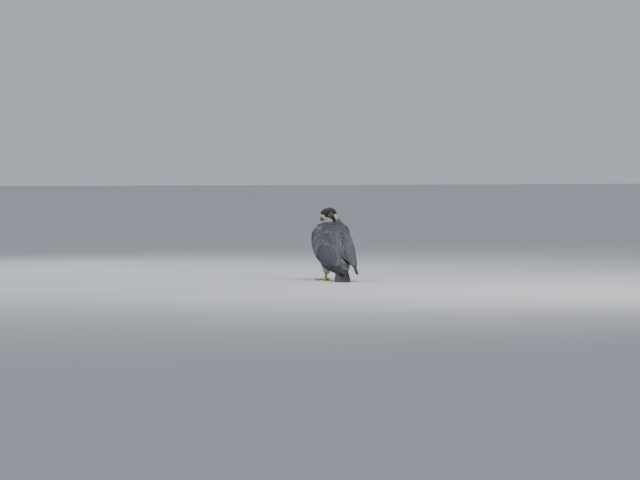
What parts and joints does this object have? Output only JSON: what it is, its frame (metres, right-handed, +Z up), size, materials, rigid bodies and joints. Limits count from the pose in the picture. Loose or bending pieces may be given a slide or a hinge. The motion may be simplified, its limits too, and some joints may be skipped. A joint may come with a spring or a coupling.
{
  "type": "peregrine falcon",
  "caption": "Adult peregrine falcon, life size and still, standing hunched with folded wings, looking back over its left shoulder, tail end resting on the ground.",
  "frame": {"origin": "on the ground, under the middle of the outline's box", "axes": "+Z up, the body faces -Y with the tail trailing to +Y, and the bird's left side is +X"},
  "size_m": [0.1472, 0.3072, 0.2547],
  "materials": {
    "plumage_dark": "blackish slate feathers of the hood and moustache, matt with a faint sheen",
    "plumage_back": "blue-grey feathers of the back and wings with darker bars and shafts and pale fringes",
    "plumage_pale": "off-white feathers of the breast, belly and thighs with dark cross bars",
    "flight_feather": "dark slate-brown wing and tail quills, smooth, barred on the tail with a pale tip",
    "yellow_skin": "yellow bare skin of the cere, eye rings and feet, waxy and scaled",
    "horn": "blue-grey horn of the bill with a blackish tip, polished",
    "claw": "black horn of the claws, polished",
    "eye": "very dark brown eye, wet gloss"
  },
  "bodies": {
    "root": {"bill_lower": "horn", "bill_upper": "horn", "cere": "yellow_skin", "claw_hind_l": "claw", "claw_hind_r": "claw", "claw_inner_l": "claw", "claw_inner_r": "claw", "claw_middle_l": "claw", "claw_middle_r": "claw", "claw_outer_l": "claw", "claw_outer_r": "claw", "eye_l": "eye", "eye_r": "eye", "head": "plumage_dark", "neck": "plumage_back", "primaries_l": "flight_feather", "primaries_r": "flight_feather", "shank_l": "yellow_skin", "shank_r": "yellow_skin", "tail": "flight_feather", "thigh_l": "plumage_pale", "thigh_r": "plumage_pale", "toe_hind_l": "yellow_skin", "toe_hind_r": "yellow_skin", "toe_inner_l": "yellow_skin", "toe_inner_r": "yellow_skin", "toe_middle_l": "yellow_skin", "toe_middle_r": "yellow_skin", "toe_outer_l": "yellow_skin", "toe_outer_r": "yellow_skin", "trunk": "plumage_pale", "wing_l": "plumage_back", "wing_r": "plumage_back"}
  },
  "joints": []
}
